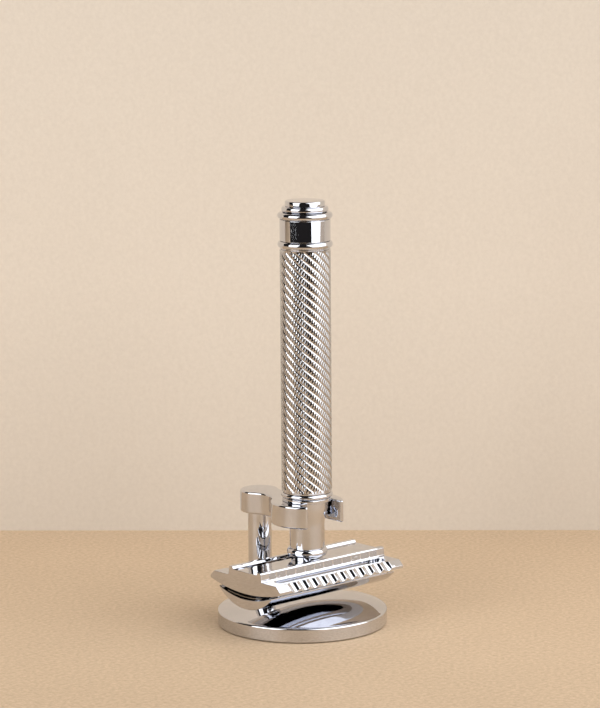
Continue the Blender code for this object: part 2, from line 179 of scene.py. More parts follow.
def clean(obj, distance=1e-7):
    bm = bmesh.new()
    bm.from_mesh(obj.data)
    bmesh.ops.remove_doubles(bm, verts=bm.verts, dist=distance)
    bmesh.ops.dissolve_degenerate(bm, edges=bm.edges, dist=distance)
    bmesh.ops.recalc_face_normals(bm, faces=bm.faces)
    bm.to_mesh(obj.data)
    bm.free()


def lathe(name, profile, x=0.0, y=AXIS_Y, segments=160, closed=False):
    """Turns a profile of (radius, height) about the vertical line through (x, y)."""
    verts = []
    rings = []
    for r, z in profile:
        if r < 1e-9:
            rings.append([len(verts)] * segments)
            verts.append((x, y, z))
            continue
        rings.append(list(range(len(verts), len(verts) + segments)))
        for k in range(segments):
            a = math.tau * k / segments
            verts.append((x + r * math.cos(a), y + r * math.sin(a), z))
    faces = []
    pairs = len(rings) if closed else len(rings) - 1
    for i in range(pairs):
        lower = rings[i]
        upper = rings[(i + 1) % len(rings)]
        for k in range(segments):
            j = (k + 1) % segments
            face = []
            for v in (lower[k], lower[j], upper[j], upper[k]):
                if v not in face:
                    face.append(v)
            if len(face) > 2:
                faces.append(face)
    obj = new_object(name, verts, faces)
    clean(obj)
    return obj


def outline_normals(points):
    """The outward directions at the points of a closed outline that runs anticlockwise."""
    p = np.array(points)
    before = p - np.roll(p, 1, axis=0)
    after = np.roll(p, -1, axis=0) - p
    lengths = [np.maximum(np.linalg.norm(e, axis=1, keepdims=True), 1e-12) for e in (before, after)]
    along = before / lengths[0] + after / lengths[1]
    normal = np.stack([along[:, 1], -along[:, 0]], axis=1)
    return normal / np.maximum(np.linalg.norm(normal, axis=1, keepdims=True), 1e-12)


def loft(name, outlines, place):
    """Skins closed outlines of equal length and closes both ends. place(u, v, w) gives a point in space."""
    count = len(outlines[0][1])
    verts = []
    for w, outline in outlines:
        verts += [place(u, v, w) for u, v in outline]
    faces = []
    for s in range(len(outlines) - 1):
        for i in range(count):
            j = (i + 1) % count
            faces.append((s * count + i, s * count + j, (s + 1) * count + j, (s + 1) * count + i))
    last = (len(outlines) - 1) * count
    faces.append(tuple(range(count))[::-1])
    faces.append(tuple(range(last, last + count)))
    obj = new_object(name, verts, faces)
    clean(obj)
    return obj


def eased_ends(section, half, ease, steps=4):
    """Outlines for a loft from -half to half whose end edges are rounded by ease."""
    made = []
    for side in (-1, 1):
        turns = [math.radians(90 * k / steps) for k in range(steps + 1)]
        rows = []
        for a in turns:
            w = side * (half - ease + ease * math.cos(a))
            inset = ease - ease * math.sin(a)
            outline = section(side * (half - ease))
            moved = np.array(outline) - outline_normals(outline) * inset
            rows.append((w, [tuple(p) for p in moved]))
        made += rows if side < 0 else rows[::-1]
    return made[: steps + 1], made[steps + 1:]


def across_head(u, v, w):
    """Head sections lie in Y and Z and run along X."""
    return (w, AXIS_Y + u, v)


def upright(u, v, w):
    return (u, v, w)


def drill(obj, holes):
    """Cuts upright round holes (x, y, radius, low, high) into the piece."""
    for x, y, radius, low, high in holes:
        cutter = lathe("cutter", [(0, low), (radius, low), (radius, high), (0, high)], x, y, 64)
        modifier = obj.modifiers.new("hole", "BOOLEAN")
        modifier.operation = "DIFFERENCE"
        modifier.solver = "EXACT"
        modifier.object = cutter
        bpy.context.view_layer.update()
        depsgraph = bpy.context.evaluated_depsgraph_get()
        mesh = bpy.data.meshes.new_from_object(obj.evaluated_get(depsgraph))
        obj.modifiers.clear()
        obj.data = mesh
        bpy.data.objects.remove(cutter, do_unlink=True)


def piece(obj, body, nodes, material, sharp=38):
    """Shades the piece, gives it its material and ties it to the frame."""
    obj.data.materials.clear()
    obj.data.materials.append(material)
    obj.data.shade_smooth()
    obj.data.set_sharp_from_angle(angle=math.radians(sharp))
    weighted = obj.modifiers.new("weighted normals", "WEIGHTED_NORMAL")
    weighted.mode = "FACE_AREA"
    weighted.weight = 50
    weighted.keep_sharp = True
    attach(obj, body)
    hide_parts(*nodes)
    return obj


# ---------------------------------------------------------------- materials


class Nodes:
    """A short way to write a material's node tree."""

    def __init__(self, name):
        self.material = bpy.data.materials.new(name)
        self.material.use_nodes = True
        self.tree = self.material.node_tree
        self.shader = self.tree.nodes["Principled BSDF"]

    def add(self, kind, **values):
        node = self.tree.nodes.new(kind)
        for key, value in values.items():
            setattr(node, key, value)
        return node

    def link(self, start, end):
        self.tree.links.new(start, end)

    def coordinates(self, scale=(1.0, 1.0, 1.0), turn=(0.0, 0.0, 0.0)):
        source = self.add("ShaderNodeTexCoord")
        mapping = self.add("ShaderNodeMapping")
        mapping.inputs["Scale"].default_value = scale
        mapping.inputs["Rotation"].default_value = turn
        self.link(source.outputs["Object"], mapping.inputs["Vector"])
        return mapping.outputs["Vector"]

    def noise(self, vector, scale, detail=4.0, roughness=0.5, distortion=0.0):
        node = self.add("ShaderNodeTexNoise")
        node.inputs["Scale"].default_value = scale
        node.inputs["Detail"].default_value = detail
        node.inputs["Roughness"].default_value = roughness
        node.inputs["Distortion"].default_value = distortion
        self.link(vector, node.inputs["Vector"])
        return node.outputs["Fac"]

    def spread(self, value, low, high, to_low, to_high):
        """Maps a value from low..high to to_low..to_high, held at the ends."""
        node = self.add("ShaderNodeMapRange")
        for key, number in zip(("From Min", "From Max", "To Min", "To Max"), (low, high, to_low, to_high)):
            node.inputs[key].default_value = number
        self.link(value, node.inputs["Value"])
        return node.outputs["Result"]

    def math(self, operation, a, b):
        node = self.add("ShaderNodeMath", operation=operation)
        for socket, value in zip(node.inputs, (a, b)):
            if isinstance(value, (int, float)):
                socket.default_value = value
            else:
                self.link(value, socket)
        return node.outputs["Value"]

    def blend(self, factor, dark, light):
        node = self.add("ShaderNodeMix", data_type="RGBA")
        self.link(factor, node.inputs["Factor"])
        for socket in node.inputs:
            if socket.type == "RGBA" and socket.name == "A":
                socket.default_value = (*dark, 1.0)
            if socket.type == "RGBA" and socket.name == "B":
                socket.default_value = (*light, 1.0)
        return next(s for s in node.outputs if s.type == "RGBA")

    def bump(self, height, distance, strength=1.0):
        node = self.add("ShaderNodeBump")
        node.inputs["Strength"].default_value = strength
        node.inputs["Distance"].default_value = distance
        self.link(height, node.inputs["Height"])
        self.link(node.outputs["Normal"], self.shader.inputs["Normal"])


def scratches(nodes, scale, turn, thin):
    """Sparse hairlines: a strongly stretched noise where only the peaks count."""
    vector = nodes.coordinates(scale, turn)
    return nodes.spread(nodes.noise(vector, 1.0, 2.0, 0.6, 0.2), thin, thin + 0.06, 0.0, 1.0)


def plated(name, dark, light, polish, haze, scratch_tilt=0.4):
    """Chrome plate: faint smudges in gloss and tint, two sets of hairlines and a very low waviness."""
    nodes = Nodes(name)
    nodes.shader.inputs["Metallic"].default_value = 1.0
    smudge = nodes.noise(nodes.coordinates(), 95.0, 5.0, 0.62, 0.6)
    film = nodes.noise(nodes.coordinates((1.0, 1.0, 0.45)), 420.0, 3.0, 0.5, 0.2)
    lines_a = scratches(nodes, (9000.0, 9000.0, 260.0), (scratch_tilt, 0.2, 0.0), 0.70)
    lines_b = scratches(nodes, (420.0, 9000.0, 8000.0), (0.0, scratch_tilt, 0.7), 0.71)
    lines = nodes.math("MAXIMUM", lines_a, lines_b)
    haze_map = nodes.spread(smudge, 0.42, 0.72, polish, haze)
    film_map = nodes.spread(film, 0.45, 0.75, 0.0, 0.4 * (haze - polish))
    gloss = nodes.math("ADD", haze_map, film_map)
    gloss = nodes.math("ADD", gloss, nodes.math("MULTIPLY", lines, 0.05))
    nodes.link(gloss, nodes.shader.inputs["Roughness"])
    nodes.link(nodes.blend(nodes.spread(smudge, 0.3, 0.75, 1.0, 0.0), dark, light),
               nodes.shader.inputs["Base Color"])
    wave = nodes.noise(nodes.coordinates(), 230.0, 2.0, 0.4)
    relief = nodes.math("SUBTRACT", nodes.math("MULTIPLY", wave, 0.6), nodes.math("MULTIPLY", lines, 0.5))
    nodes.bump(relief, 0.0000035)
    return nodes.material


def paint_slot_shade(material):
    """Paints shade into the knurl's fine slots: their colour is mixed towards near black. The mesh says how
    deep in a slot each point is.
    """
    tree = material.node_tree
    shader = tree.nodes["Principled BSDF"]
    plate = shader.inputs["Base Color"].links[0].from_socket
    slot = tree.nodes.new("ShaderNodeAttribute")
    slot.attribute_name = "slot"
    mix = tree.nodes.new("ShaderNodeMixRGB")
    # painted shade: the near-black colour that the slots are mixed towards
    mix.inputs["Color2"].default_value = (0.022, 0.021, 0.022, 1.0)
    tree.links.new(slot.outputs["Fac"], mix.inputs["Fac"])
    tree.links.new(plate, mix.inputs["Color1"])
    tree.links.new(mix.outputs["Color"], shader.inputs["Base Color"])


def make_materials():
    looks = {
        "chrome": plated("polished chrome", (0.60, 0.61, 0.65), (0.70, 0.71, 0.75), 0.018, 0.06),
        "grip": plated("knurled chrome", (0.56, 0.56, 0.58), (0.72, 0.72, 0.74), 0.06, 0.13, 1.1),
        "steel": plated("turned steel", (0.42, 0.42, 0.43), (0.56, 0.56, 0.57), 0.22, 0.36, 0.1),
        "brass": plated("bare brass", (0.56, 0.40, 0.17), (0.74, 0.56, 0.27), 0.16, 0.30, 0.2),
        "blade": plated("blade steel", (0.50, 0.51, 0.53), (0.66, 0.67, 0.69), 0.10, 0.18, 0.05),
    }
    # paints shade into the knurl's fine slots
    paint_slot_shade(looks["grip"])
    rubber = Nodes("black rubber")
    grain = rubber.noise(rubber.coordinates(), 2600.0, 6.0, 0.6)
    dust = rubber.noise(rubber.coordinates(), 260.0, 4.0, 0.6)
    dusty = rubber.spread(dust, 0.4, 0.8, 0.0, 1.0)
    tint = rubber.blend(dusty, (0.018, 0.017, 0.016), (0.05, 0.047, 0.043))
    rubber.link(tint, rubber.shader.inputs["Base Color"])
    rubber.link(rubber.spread(grain, 0.3, 0.7, 0.62, 0.86), rubber.shader.inputs["Roughness"])
    rubber.bump(grain, 0.00003)
    looks["pad"] = rubber.material
    return looks


# ---------------------------------------------------------------- stand


BASE_TOP = 3.9 * MM  # at the rim; the top rises from there as a shallow dome
DOME_RISE = 2.2 * MM
DOME_EDGE = BASE_R - 0.7 * MM
DOME_STEPS = 40


def dome_height(radius):
    """Height of the base's top at a distance from its middle."""
    sphere = (DOME_EDGE ** 2 + DOME_RISE ** 2) / (2 * DOME_RISE)
    return BASE_TOP + DOME_RISE - sphere + math.sqrt(sphere ** 2 - radius ** 2)


def make_stand(looks):
    screw_low, screw_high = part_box("base_screw")
    screw_hole = (screw_high.x - screw_low.x) / 2 + 0.3 * MM
    dome = [DOME_EDGE * (1 - k / DOME_STEPS) for k in range(1, DOME_STEPS + 1)]
    base = lathe("polished_base", rounded([
        (0, PAD_TOP + 0.05 * MM),
        (PAD_R + 0.25 * MM, PAD_TOP + 0.05 * MM),
        (PAD_R + 0.25 * MM, BASE_LOW),
        (BASE_R, BASE_LOW, 0.3 * MM),
        (BASE_R, BASE_TOP, 0.45 * MM),
        (DOME_EDGE, BASE_TOP),
    ], steps=7) + [(r, dome_height(r)) for r in dome], y=0.0, segments=256)
    drill(base, [(0.0, POST_Y, screw_hole, -MM, PAD_TOP + 1.2 * MM)])
    piece(base, "stand", ["base_disc"], looks["chrome"])

    pad = lathe("rubber_pad", rounded([
        (0, 0),
        (PAD_R, 0, 0.1 * MM),
        (PAD_R, PAD_TOP - 0.02 * MM),
        (0, PAD_TOP - 0.02 * MM),
    ], steps=3), y=0.0, segments=192)
    drill(pad, [(0.0, POST_Y, screw_hole, -MM, PAD_TOP + MM)])
    piece(pad, "stand", ["base_pad"], looks["pad"])

    post = lathe("round_post", rounded([
        (0, BASE_TOP + 0.3 * MM),
        (POST_R - 0.2 * MM, BASE_TOP + 0.3 * MM),
        (POST_R, BASE_TOP + 0.5 * MM),
        (POST_R, FORK_LOW - 0.2 * MM, 0.15 * MM),
        (POST_R - 0.2 * MM, FORK_LOW + 0.05 * MM),
        (0, FORK_LOW + 0.05 * MM),
    ], steps=3), y=POST_Y, segments=128)
    piece(post, "stand", ["stand_post"], looks["chrome"])

    outline = fork_outline()
    normals = outline_normals(outline)
    ease = 0.5 * MM
    layers = []
    turns = [math.radians(15 * k) for k in range(7)]
    for a in turns[::-1]:
        layers.append((FORK_LOW + ease - ease * math.sin(a), ease - ease * math.cos(a)))
    for a in turns:
        layers.append((FORK_TOP - ease + ease * math.sin(a), ease - ease * math.cos(a)))
    rows = [(z, [tuple(p) for p in np.array(outline) - normals * inset]) for z, inset in layers]
    fork = loft("fork", rows, upright)
    piece(fork, "stand", ["fork_arm"], looks["chrome"])


def fork_outline():
    """Ring, waist and boss seen from above, anticlockwise, with the slot open towards -Y and eased tips."""
    waist = 6.5 * MM
    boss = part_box("fork_arm")[1].y - POST_Y
    slot_half = 5.6 * MM
    tip = 0.55 * MM
    span = POST_Y - AXIS_Y
    to_ring = RING_R + waist
    to_boss = boss + waist
    along = (to_ring ** 2 - to_boss ** 2 + span ** 2) / (2 * span)
    side = math.sqrt(to_ring ** 2 - along ** 2)
    ring_touch = math.degrees(math.atan2(along, side))
    boss_touch = math.degrees(math.atan2(along - span, side))
    # The tip's small arc touches the ring's outside and the slot's straight side.
    tip_u = slot_half + tip
    tip_v = -math.sqrt((RING_R - tip) ** 2 - tip_u ** 2)
    tip_turn = math.degrees(math.atan2(tip_v, tip_u))
    points = arc(tip_u, AXIS_Y + tip_v, tip, -180, tip_turn, 8)
    points += arc(0, AXIS_Y, RING_R, tip_turn, ring_touch, 40)[1:]
    points += arc(side, AXIS_Y + along, waist, 180 + ring_touch, 180 + boss_touch, 14)[1:]
    points += arc(0, POST_Y, boss, boss_touch, 180 - boss_touch, 40)[1:]
    points += arc(-side, AXIS_Y + along, waist, -boss_touch, -ring_touch, 14)[1:]
    points += arc(0, AXIS_Y, RING_R, 180 - ring_touch, 180 - tip_turn, 40)[1:]
    points += arc(-tip_u, AXIS_Y + tip_v, tip, 180 - tip_turn, 360, 8)[1:]
    points += arc(0, AXIS_Y, slot_half, 180, 0, 48)
    return points


# ---------------------------------------------------------------- head

WING_Z = 15.55 * MM
WING_EDGE = 12.0 * MM
LIP_Z = 14.2 * MM
TIP_Z = 13.5 * MM
PLATEAU_Z = 17.2 * MM
CHANNEL_FLOOR = 14.0 * MM
CHANNEL_IN = 7.0 * MM
CHANNEL_OUT = 10.6 * MM
CHANNEL_HALF = 18.6 * MM
NOTCH_COUNT = 11
NOTCH_PITCH = 3.22 * MM
NOTCH_R = 2.1 * MM
NOTCH_DEPTH = 0.5 * MM
FACE_TURN = math.atan2(WING_Z - LIP_Z, GUARD_HALF - WING_EDGE)


def notch_depth(x):
    """How far the comb's sloped face is cut back at x. Its rims are slightly round."""
    first = -(NOTCH_COUNT - 1) / 2 * NOTCH_PITCH
    nearest = first + NOTCH_PITCH * min(NOTCH_COUNT - 1, max(0, round((x - first) / NOTCH_PITCH)))
    off = min(abs(x - nearest), 0.98 * NOTCH_R)
    depth = math.sqrt(NOTCH_R ** 2 - off ** 2) - (NOTCH_R - NOTCH_DEPTH)
    rim = 0.05 * MM
    return max(0.0, (depth + math.sqrt(depth ** 2 + rim ** 2)) / 2 - 0.1 * rim)


# The channel's half section as (distance outside its edge, height), floor's middle to wing's top
CHANNEL_PROFILE = [(-1.8 * MM, CHANNEL_FLOOR)]
CHANNEL_PROFILE += arc(-0.62 * MM, CHANNEL_FLOOR + 0.6 * MM, 0.6 * MM, -90, 0, 6)
CHANNEL_PROFILE += arc(0.12 * MM, WING_Z - 0.12 * MM, 0.12 * MM, 180, 90, 6)


def channel_points(x):
    """The channel's section at x, inner wall to outer wall. Its ends are half round in plan."""
    radius = (CHANNEL_OUT - CHANNEL_IN) / 2
    middle = (CHANNEL_OUT + CHANNEL_IN) / 2
    past = abs(x) - (CHANNEL_HALF - radius)
    offsets = [p[0] for p in CHANNEL_PROFILE]
    heights = [p[1] for p in CHANNEL_PROFILE]
    half = []
    for offset, height in CHANNEL_PROFILE:
        reach = radius + offset
        if past <= 0:
            half.append((reach, height))
        elif past < reach:
            half.append((math.sqrt(reach ** 2 - past ** 2), height))
        else:
            half.append((0.0, float(np.interp(past - radius, offsets, heights))))
    inner = [(middle - w, z) for w, z in reversed(half)]
    outer = [(middle + w, z) for w, z in half]
    return inner + outer[1:]


def guard_section(x):
    cut = notch_depth(x)
    normal = Vector((math.sin(FACE_TURN), math.cos(FACE_TURN)))
    edge = WING_EDGE - cut / normal.x
    lip = max(LIP_Z - cut / normal.y, TIP_Z + 0.02 * MM)
    soft = min(0.09 * MM, 0.4 * (lip - TIP_Z))
    rim = [(edge, WING_Z, 0.09 * MM), (GUARD_HALF, lip, soft), (GUARD_HALF, TIP_Z, soft)]
    plateau = rounded([
        (0.0, PLATEAU_Z),
        (4.5 * MM, PLATEAU_Z, 0.12 * MM),
        (4.8 * MM, GUARD_TOP, 0.1 * MM),
        (5.9 * MM, GUARD_TOP, 0.12 * MM),
        (6.18 * MM, GUARD_TOP - 0.3 * MM, 0.15 * MM),
        (6.36 * MM, WING_Z + 0.25 * MM, 0.15 * MM),
        (6.52 * MM, WING_Z + 0.06 * MM, 0.1 * MM),
        (6.8 * MM, WING_Z),
    ], steps=4)
    under_half = []
    for k in range(1, 15):
        u = (GUARD_HALF - 0.5 * MM) * (1 - k / 14)
        under_half.append((u, sag_height(u, GUARD_HALF, GUARD_LOW, TIP_Z)))
    start = [channel_points(x)[-1]]
    rim = rounded(start + rim + [under_half[0]], steps=4)[1:-1]
    half = plateau + channel_points(x) + rim + under_half
    mirror = [(-u, z) for u, z in half[1:-1]]
    outline = half[::-1] + mirror
    return outline


def guard_stations():
    """Where along the head the guard's sections lie: round each notch and round the channels' ends."""
    stations = set()
    first = -(NOTCH_COUNT - 1) / 2 * NOTCH_PITCH
    chord = math.sqrt(NOTCH_R ** 2 - (NOTCH_R - NOTCH_DEPTH) ** 2)
    for i in range(NOTCH_COUNT):
        middle = first + i * NOTCH_PITCH
        for k in range(-7, 8):
            stations.add(middle + chord * math.sin(math.radians(90 * k / 7)))
        stations.add(middle - chord - 0.06 * MM)
        stations.add(middle + chord + 0.06 * MM)
        stations.add(middle + chord + 0.16 * MM)
        stations.add(middle - chord - 0.16 * MM)
    radius = (CHANNEL_OUT - CHANNEL_IN) / 2
    reach = CHANNEL_HALF - radius
    for side in (-1, 1):
        for k in range(11):
            stations.add(side * (reach + radius * math.sin(math.radians(9 * k)) * 0.985))
        for offset, _ in CHANNEL_PROFILE[1:]:
            stations.add(side * (reach + radius + offset))
    ordered = sorted(stations)
    kept = [ordered[0]]
    for x in ordered[1:]:
        if x - kept[-1] > 0.012 * MM:
            kept.append(x)
    return kept


def make_head(looks):
    ease = 0.1 * MM
    start, end = eased_ends(guard_section, HEAD_HALF, ease)
    rows = start + [(x, guard_section(x)) for x in guard_stations()] + end
    guard = loft("guard", rows, across_head)
    stud_hole = STUD_R + 0.3 * MM
    pin_hole = PIN_R + 0.25 * MM
    pin_top = high_z("cap_pin_right") + 0.6 * MM
    holes = [(0.0, AXIS_Y, stud_hole, GUARD_LOW - 2 * MM, GUARD_TOP + MM)]
    holes += [(x, AXIS_Y, pin_hole, GUARD_LOW - 2 * MM, pin_top) for x in (-PIN_X, PIN_X)]
    drill(guard, holes)
    piece(guard, "guard", ["guard_plate"], looks["chrome"], sharp=50)

    cap_inner = 10.1 * MM
    cap_radius = 14.2 * MM

    def cap_section(_x):
        outer_tip = CAP_LOW + cap_radius - math.sqrt(cap_radius ** 2 - CAP_HALF ** 2)
        turn = math.degrees(math.asin((CAP_HALF - 0.12 * MM) / cap_radius))
        outer = arc(0, CAP_LOW + cap_radius, cap_radius, -90 - turn, -90 + turn, 72)
        inner_half = CAP_HALF - 0.1 * MM
        inner = []
        for k in range(49):
            u = (inner_half - 0.06 * MM) * (1 - 2 * k / 48)
            inner.append((u, sag_height(u, inner_half, cap_inner, CAP_TOP)))
        tip_low = (outer[-1][1] + outer_tip) / 2
        right = [(CAP_HALF, tip_low + 0.07 * MM), (CAP_HALF - 0.01 * MM, CAP_TOP - 0.1 * MM)]
        left = [(-u, z) for u, z in reversed(right)]
        return outer + right + inner + left

    start, end = eased_ends(cap_section, HEAD_HALF, 0.16 * MM)
    rows = start + [(x * HEAD_HALF, cap_section(x)) for x in (-0.5, 0.0, 0.5)] + end
    cap = loft("cap", rows, across_head)
    floor = low_z("cap_stud") - 0.3 * MM
    holes = [(0.0, AXIS_Y, STUD_R + 0.12 * MM, floor, CAP_TOP + MM)]
    holes += [(x, AXIS_Y, PIN_R + 0.12 * MM, floor, CAP_TOP + MM) for x in (-PIN_X, PIN_X)]
    drill(cap, holes)
    piece(cap, "cap", ["top_cap"], looks["chrome"])
    make_blade(looks)
    make_stud(looks)


def make_blade(looks):
    """A thin strip with ground edges, cut corners and a centre slot, bent between cap and guard."""
    low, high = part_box("razor_blade")
    half_length = (high.x - low.x) / 2
    half_width = (high.y - low.y) / 2
    thick = 0.1 * MM
    sag_top = high.z - thick
    edge_half = 18.7 * MM
    tab_half = 6.5 * MM

    def section(limit):
        under = []
        for k in range(41):
            u = -limit + 2 * limit * k / 40
            under.append((u, sag_height(u, half_width, low.z, sag_top)))
        grind = 0.7 * MM
        over = []
        for u, z in reversed(under):
            ground = min(1.0, (half_width - abs(u)) / grind) if limit > tab_half else 1.0
            over.append((u, z + thick * (0.12 + 0.88 * ground)))
        return under + over

    middle = section(half_width)
    tab = section(tab_half)
    step = 0.001 * MM
    rows = [(-half_length, tab), (-edge_half - step, tab), (-edge_half, middle)]
    rows += [(edge_half, middle), (edge_half + step, tab), (half_length, tab)]
    blade = loft("blade", rows, across_head)
    z0 = low.z - MM
    z1 = high.z + MM
    drill(blade, [(0.0, AXIS_Y, STUD_R + 0.35 * MM, z0, z1)]
          + [(x, AXIS_Y, PIN_R + 0.35 * MM, z0, z1) for x in (-PIN_X, PIN_X)])
    piece(blade, "blade", ["razor_blade"], looks["blade"])


def make_stud(looks):
    """The cap's stud with a helical thread of 0.8 mm pitch above its plain foot."""
    low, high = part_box("cap_stud")
    pitch = 0.8 * MM
    depth = 0.38 * MM
    thread_low = GUARD_LOW
    turns = 48
    rows = 220
    top = high.z
    verts = []
    faces = []
    heights = [low.z] + [thread_low + (top - thread_low) * i / rows for i in range(rows + 1)]
    for z in heights:
        for k in range(turns):
            a = math.tau * k / turns
            phase = (z / pitch - k / turns) % 1.0
            valley = max(0.0, abs(phase - 0.5) * 2.4 - 0.2)
            fade = min(1.0, (z - thread_low) / (0.8 * MM)) if z > thread_low else 0.0
            lead = max(0.0, 1 - (top - z) / (0.5 * MM)) * 0.45 * MM
            r = STUD_R - min(depth, depth * valley) * fade
            r = min(r, STUD_R - lead)
            verts.append((r * math.cos(a), AXIS_Y + r * math.sin(a), z))
    for i in range(len(heights) - 1):
        for k in range(turns):
            j = (k + 1) % turns
            faces.append((i * turns + k, i * turns + j, (i + 1) * turns + j, (i + 1) * turns + k))
    last = (len(heights) - 1) * turns
    faces.append(tuple(range(turns))[::-1])
    faces.append(tuple(range(last, last + turns)))
    stud = new_object("threaded_stud", verts, faces)
    clean(stud)
    piece(stud, "cap", ["cap_stud"], looks["brass"], sharp=60)


# ---------------------------------------------------------------- handle


def make_neck(looks):
    foot_low = 18.3 * MM
    foot_high = 20.4 * MM
    groove_r = 4.42 * MM
    shaft_low = 20.75 * MM
    waist_r = 4.53 * MM
    flare = 0.95 * MM
    flare_low = 26.5 * MM
    flare_high = 31.3 * MM
    top = COLLAR_LOW - 0.05 * MM
    foot_r = radius_of("handle_neck")
    shaft = []
    for k in range(41):
        z = shaft_low + (top - shaft_low) * k / 40
        t = min(1.0, max(0.0, (z - flare_low) / (flare_high - flare_low)))
        shaft.append((waist_r + flare * t * t * (3 - 2 * t), z))
    bore = STUD_R + 0.1 * MM
    profile = [(bore, PLATEAU_Z + 0.03 * MM), (4.1 * MM, PLATEAU_Z + 0.03 * MM)]
    profile += [(4.15 * MM, PLATEAU_Z + 0.08 * MM), (4.15 * MM, foot_low - 0.08 * MM)]
    profile += [(4.3 * MM, foot_low - 0.02 * MM)]
    profile += bead(foot_r, 0.7 * MM, foot_low, foot_high)
    profile += [(groove_r, foot_high + 0.02 * MM), (groove_r, shaft_low - 0.06 * MM)]
    profile += shaft
    bore_depth = 8.0 * MM
    inside = low_z("thread_insert") + bore_depth
    profile += [(bore, top), (bore, inside)]
    neck = lathe("neck", profile, closed=True, segments=160)
    piece(neck, "handle", ["handle_neck"], looks["chrome"])

    step_r = 6.35 * MM
    step_top = 33.7 * MM
    inner = 4.0 * MM
    profile = rounded([
        (inner, FORK_TOP + 0.04 * MM),
        (step_r, FORK_TOP + 0.04 * MM, 0.15 * MM),
        (step_r, step_top, 0.12 * MM),
        (6.1 * MM, step_top + 0.02 * MM),
    ], steps=4)
    profile += bead(COLLAR_R, 0.65 * MM, step_top + 0.06 * MM, COLLAR_TOP)
    profile += [(GRIP_R - 0.3 * MM, COLLAR_TOP + 0.02 * MM), (GRIP_R - 0.3 * MM, GRIP_LOW + 0.1 * MM)]
    profile += [(inner, GRIP_LOW + 0.1 * MM)]
    collar = lathe("collar", profile, closed=True, segments=160)
    piece(collar, "handle", ["neck_collar"], looks["chrome"])


